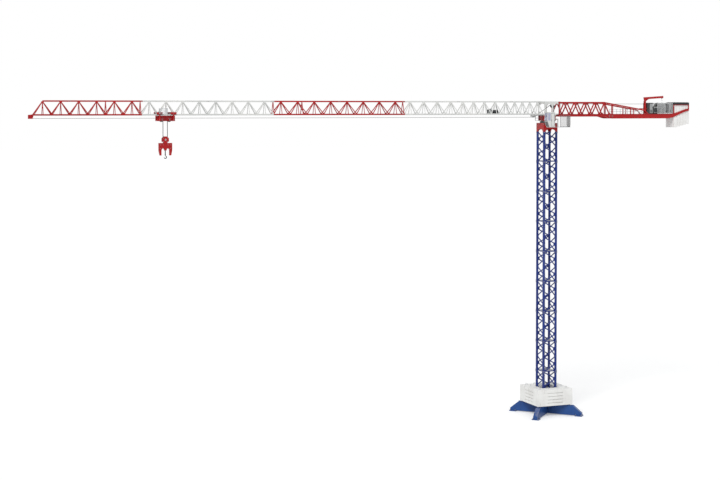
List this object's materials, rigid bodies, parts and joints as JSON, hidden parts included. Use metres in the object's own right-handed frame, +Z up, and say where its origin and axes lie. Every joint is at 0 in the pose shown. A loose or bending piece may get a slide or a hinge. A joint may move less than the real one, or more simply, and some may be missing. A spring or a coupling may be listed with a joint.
{
  "type": "flat-top tower crane, 1:10 scale model",
  "caption": "Flat-top tower crane on a ballasted cross base: lattice mast, slewing jib with trolley and hook block, and a counter-jib with winch and counterweights.",
  "frame": {"origin": "on the mast axis at ground level, in the plane of the foot plates' undersides", "axes": "+Z up, -X along the jib, +X along the counter-jib, -Y on the side of the driver's cab"},
  "size_m": [10.53, 0.9066, 4.9722],
  "materials": {
    "base_blue": "satin blue paint",
    "mast_blue": "satin blue paint",
    "crane_red": "satin red paint",
    "crane_white": "satin white paint",
    "machine_grey": "satin grey paint",
    "concrete": "fair-faced concrete",
    "galvanised": "hot-dip galvanised",
    "ring_steel": "greased machined steel",
    "dark_steel": "black oxide",
    "wire_rope": "greased steel wire",
    "cab_glass": "tinted glass",
    "dark_plastic": "matte"
  },
  "bodies": {
    "tower": {"base_long_beam": "base_blue", "base_half_beams": "base_blue", "foot_plates": "galvanised", "mast_feet": "mast_blue", "ballast_bearers": "base_blue", "ballast_front": "concrete", "ballast_rear": "concrete", "ballast_left": "concrete", "ballast_right": "concrete", "mast_lower": "mast_blue", "mast_middle": "mast_blue", "mast_upper": "mast_blue", "mast_platforms": "galvanised", "mast_ladder": "galvanised", "slewing_support": "crane_red", "slewing_ring_outer": "ring_steel"},
    "upper": {"slewing_ring_inner": "ring_steel", "slewing_frame": "crane_red", "turret_base": "crane_white", "turret": "crane_white", "pulley_brackets": "crane_white", "guide_pulleys": "dark_steel", "jib_root": "crane_white", "jib_inner_white": "crane_white", "jib_red": "crane_red", "jib_outer_white": "crane_white", "jib_tip_red": "crane_red", "jib_nose": "crane_red", "trolley_winch": "machine_grey", "hoist_rope": "wire_rope", "cab_shell": "crane_white", "cab_glass": "cab_glass", "cab_seat": "dark_plastic", "cab_arms": "crane_red", "platform_decks": "galvanised", "side_guard": "galvanised", "front_rails": "dark_steel", "counter_jib_sides": "crane_red", "counter_jib_cross_members": "crane_red", "counter_jib_decks": "galvanised", "handrails": "galvanised", "hoist_drum": "dark_steel", "winch_cheeks": "machine_grey", "control_cabinets": "machine_grey", "counterweights": "concrete", "hanger_blocks": "dark_steel", "davit_post": "crane_red"},
    "trolley": {"trolley_frame": "crane_red", "trolley_bogies": "crane_red", "trolley_wheels": "dark_steel", "trolley_pulleys": "dark_steel", "trolley_basket": "galvanised", "fall_ropes": "wire_rope"},
    "hook_block_body": {"hook_block": "crane_red", "hook_block_pulleys": "dark_steel"},
    "hook_body": {"load_hook": "dark_steel"},
    "davit": {"davit_arm": "crane_red", "davit_hook": "dark_steel"}
  },
  "joints": [
    {"name": "slew", "type": "hinge", "parent": "tower", "child": "upper", "pos_m": [0, 0, 4.585], "axis": [0, 0, 1], "continuous": true},
    {"name": "trolley_travel", "type": "slide", "parent": "upper", "child": "trolley", "axis": [1, 0, 0], "range_m": [-1.61, 5.59]},
    {"name": "hoist", "type": "slide", "parent": "trolley", "child": "hook_block_body", "axis": [0, 0, 1], "range_m": [-4, 0.15], "deforming": ["fall_ropes"]},
    {"name": "hook_swivel", "type": "hinge", "parent": "hook_block_body", "child": "hook_body", "pos_m": [-6.09, 0, 4.19], "axis": [0, 0, 1], "continuous": true},
    {"name": "davit_swivel", "type": "hinge", "parent": "upper", "child": "davit", "pos_m": [1.716, -0.09, 4.89], "axis": [0, 0, 1], "range_deg": [-90, 90]}
  ]
}
